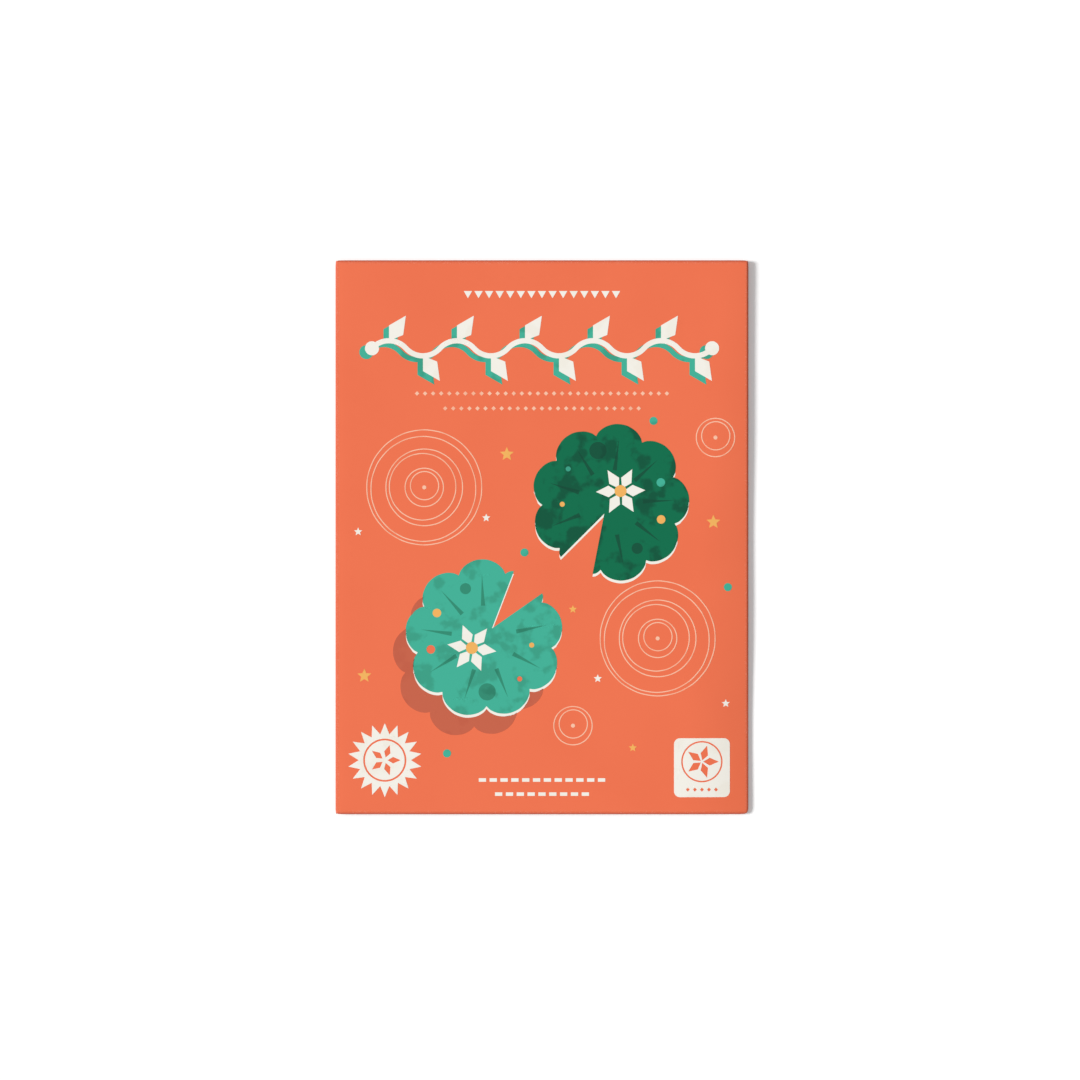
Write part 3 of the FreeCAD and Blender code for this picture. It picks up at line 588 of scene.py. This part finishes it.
def coralCardFinish():
    finish, tree, shader = newFinish("coralCard", 0.62, 0.012 * mm)
    ink = addGroup(tree, inkLay, Ink=linear(*coral["ink"]), Deep=linear(*coral["deep"]),
                   Cloud_Scale=26, Cloud_Amount=0.3, Speckle_Amount=0.14)
    turnShadeAndFlecks = addGroup(tree, turnShadeAndWear, Reach=coral["turnReach"], Fleck_Scale=coral["fleckScale"])
    # painted shade: the card's colour is darkened over the turn at the outline, where light falls off round
    # the fold
    paintedShadeShare = addMath(tree, "POWER", turnShadeAndFlecks.outputs["Turn"], coral["paintedShadePower"])
    withPaintedShade = blendColors(tree, paintedShadeShare, ink.outputs["Color"], linear(*coral["paintedFoldShade"]))
    rubbed = addMath(tree, "MULTIPLY", turnShadeAndFlecks.outputs["Flecks"], coral["fleckShare"])
    worn = blendColors(tree, rubbed, withPaintedShade, linear(*coral["rubbed"]))
    tree.links.new(worn, shader.inputs["Base Color"])
    return finish


def cutCoreFinish():
    # the uncoated middle of the card, where a flap or the lap was cut
    finish, tree, shader = newFinish("cutCore", 0.85, 0.03 * mm, fibre=3800)
    core = addGroup(tree, inkLay, Ink=linear(226, 216, 204), Deep=linear(196, 180, 164),
                    Cloud_Scale=1400, Cloud_Amount=0.6, Speckle_Amount=0.3)
    tree.links.new(core.outputs["Color"], shader.inputs["Base Color"])
    return finish


inks = {
    "creamPrint": {"node": "cream_ink", "ink": (244, 241, 232), "deep": (236, 229, 214), "clouds": 0.3},
    "peachPrint": {"node": "peach_ink", "ink": (248, 196, 168), "deep": (244, 170, 138), "clouds": 0.6},
    "mintPrint": {"node": "mint_ink", "ink": (66, 178, 152), "deep": (58, 158, 132), "clouds": 0.9},
    "mintShadePrint": {"node": "mint_shade_ink", "ink": (50, 140, 114), "deep": (42, 124, 100),
                       "clouds": 0.7},
    "greenPrint": {"node": "green_ink", "ink": (6, 111, 76), "deep": (8, 86, 60), "clouds": 0.95},
    "greenShadePrint": {"node": "green_shade_ink", "ink": (14, 84, 60), "deep": (10, 72, 52),
                        "clouds": 0.7},
    "amberPrint": {"node": "amber_ink", "ink": (242, 180, 96), "deep": (234, 164, 80), "clouds": 0.5},
    "coralShadePrint": {"node": "coral_shade_ink", "ink": (199, 100, 74), "deep": (192, 92, 68),
                        "clouds": 0.5},
}


def inkFinish(name):
    values = inks[name]
    finish, tree, shader = newFinish(name, 0.66, 0.009 * mm)
    lay = addGroup(tree, inkLay, Ink=linear(*values["ink"]), Deep=linear(*values["deep"]),
                   Cloud_Scale=150, Cloud_Amount=values["clouds"], Cloud_Edge=0.07, Speckle_Amount=0.12)
    tree.links.new(lay.outputs["Color"], shader.inputs["Base Color"])
    return finish


# the pieces, each riding with the packet and dressed

def dress(piece, node, slotName, *finishes):
    for finish in finishes:
        piece.data.materials.append(finish)
    useOnly(piece)
    bpy.ops.object.shade_smooth_by_angle(angle=smoothTurn)
    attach(piece, "root")
    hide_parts(node)


def showCutEdges(packet):
    # the second finish goes on the cut edges of the flaps and of the lap
    lapEdge = halfWidth - card["lapInset"]

    def isCut(middle, normal):
        upright = abs(normal.z) < 0.2
        beforeFold = abs(middle.y) < halfHeight - card["foldRadius"]
        onFlap = middle.z < card["thickness"] and upright and beforeFold
        atLap = abs(middle.x - lapEdge) < hair and normal.x > 0.9
        return onFlap or (atLap and middle.z < 2 * card["thickness"])

    pick(packet, "FACE", isCut)
    packet.active_material_index = 1
    bpy.ops.object.material_slot_assign()
    backToObject()


slotNames = {entry["node"]: entry["material_slot"] for entry in frame["record"]["subparts"]}

packet = makePacket()
dress(packet, "sealed_packet", slotNames["sealed_packet"], coralCardFinish(), cutCoreFinish())
showCutEdges(packet)
print("packet folded:", len(packet.data.polygons), "faces")

for name, values in inks.items():
    film = traceFilm(values["node"], name)
    dress(film, values["node"], slotNames[values["node"]], inkFinish(name))
    print("printed", name, len(film.data.polygons), "faces")


# floor, light and camera

studio = {
    "floorSize": 6,
    "floorGap": 0.02 * mm,
    "keyFrom": (-1, 0.05, 0.8),
    "keySoftness": math.radians(20),
    "keyShare": 0.65,
    "floorGlow": 0.17,
}


def makeFloor():
    bpy.ops.mesh.primitive_plane_add(size=studio["floorSize"], location=(0, 0, -studio["floorGap"]))
    floor = justAdded("floor")
    paper = bpy.data.materials.new("floorPaper")
    paper.use_nodes = True
    tree = paper.node_tree
    tree.nodes.clear()
    diffuse = addNode(tree, "ShaderNodeBsdfDiffuse")
    diffuse.inputs["Color"].default_value = (0.9, 0.9, 0.9, 1)
    glow = addNode(tree, "ShaderNodeEmission")
    rays = addNode(tree, "ShaderNodeLightPath")
    seen = addMath(tree, "MAXIMUM", rays.outputs["Is Camera Ray"], rays.outputs["Is Glossy Ray"])
    seen = addMath(tree, "MAXIMUM", seen, rays.outputs["Is Transmission Ray"])
    tree.links.new(addMath(tree, "MULTIPLY", seen, studio["floorGlow"]), glow.inputs["Strength"])
    both = addNode(tree, "ShaderNodeAddShader")
    tree.links.new(diffuse.outputs[0], both.inputs[0])
    tree.links.new(glow.outputs[0], both.inputs[1])
    out = addNode(tree, "ShaderNodeOutputMaterial")
    tree.links.new(both.outputs[0], out.inputs["Surface"])
    floor.data.materials.append(paper)


def makeLight():
    bpy.ops.object.light_add(type="SUN", location=(-0.6, 0, 0.6))
    key = bpy.context.active_object
    key.name = "keyLight"
    toward = -Vector(studio["keyFrom"])
    key.rotation_euler = toward.to_track_quat("-Z", "Y").to_euler()
    key.data.angle = studio["keySoftness"]
    slope = studio["keyFrom"][2] / Vector(studio["keyFrom"]).length
    key.data.energy = studio["keyShare"] * math.pi / slope

    world = bpy.data.worlds.new("studio")
    bpy.context.scene.world = world
    world.use_nodes = True
    tree = world.node_tree
    tree.nodes.clear()
    rays = addNode(tree, "ShaderNodeLightPath")
    seen = addMath(tree, "MAXIMUM", rays.outputs["Is Camera Ray"], rays.outputs["Is Transmission Ray"])
    air = addNode(tree, "ShaderNodeBackground")
    air.inputs["Color"].default_value = (1, 1, 1, 1)
    fill = 1 - studio["keyShare"]
    strength = addMath(tree, "ADD", addMath(tree, "MULTIPLY", seen, 1 - fill), fill)
    tree.links.new(strength, air.inputs["Strength"])
    out = addNode(tree, "ShaderNodeOutputWorld")
    tree.links.new(air.outputs[0], out.inputs["Surface"])


# where the packet lies in the photograph's 1080 pixel frame
view = {
    "framePixels": 1080,
    "packetMiddle": (542.0, 537.25),
    "packetPixels": 413.1,
    "distance": 1.7,
    "sensor": 36,
}


def makeCamera():
    perPixel = 2 * halfWidth / view["packetPixels"]
    middle = view["framePixels"] / 2
    across = (middle - view["packetMiddle"][0]) * perPixel
    up = (view["packetMiddle"][1] - middle) * perPixel
    bpy.ops.object.camera_add(location=(across, up, frontFace + view["distance"]), rotation=(0, 0, 0))
    camera = bpy.context.active_object
    camera.name = "camera"
    camera.data.sensor_width = view["sensor"]
    camera.data.sensor_fit = "HORIZONTAL"
    camera.data.lens = view["sensor"] * view["distance"] / (perPixel * view["framePixels"])
    bpy.context.scene.camera = camera


makeFloor()
makeLight()
makeCamera()
bpy.context.scene.view_settings.view_transform = "Standard"
print("studio set")
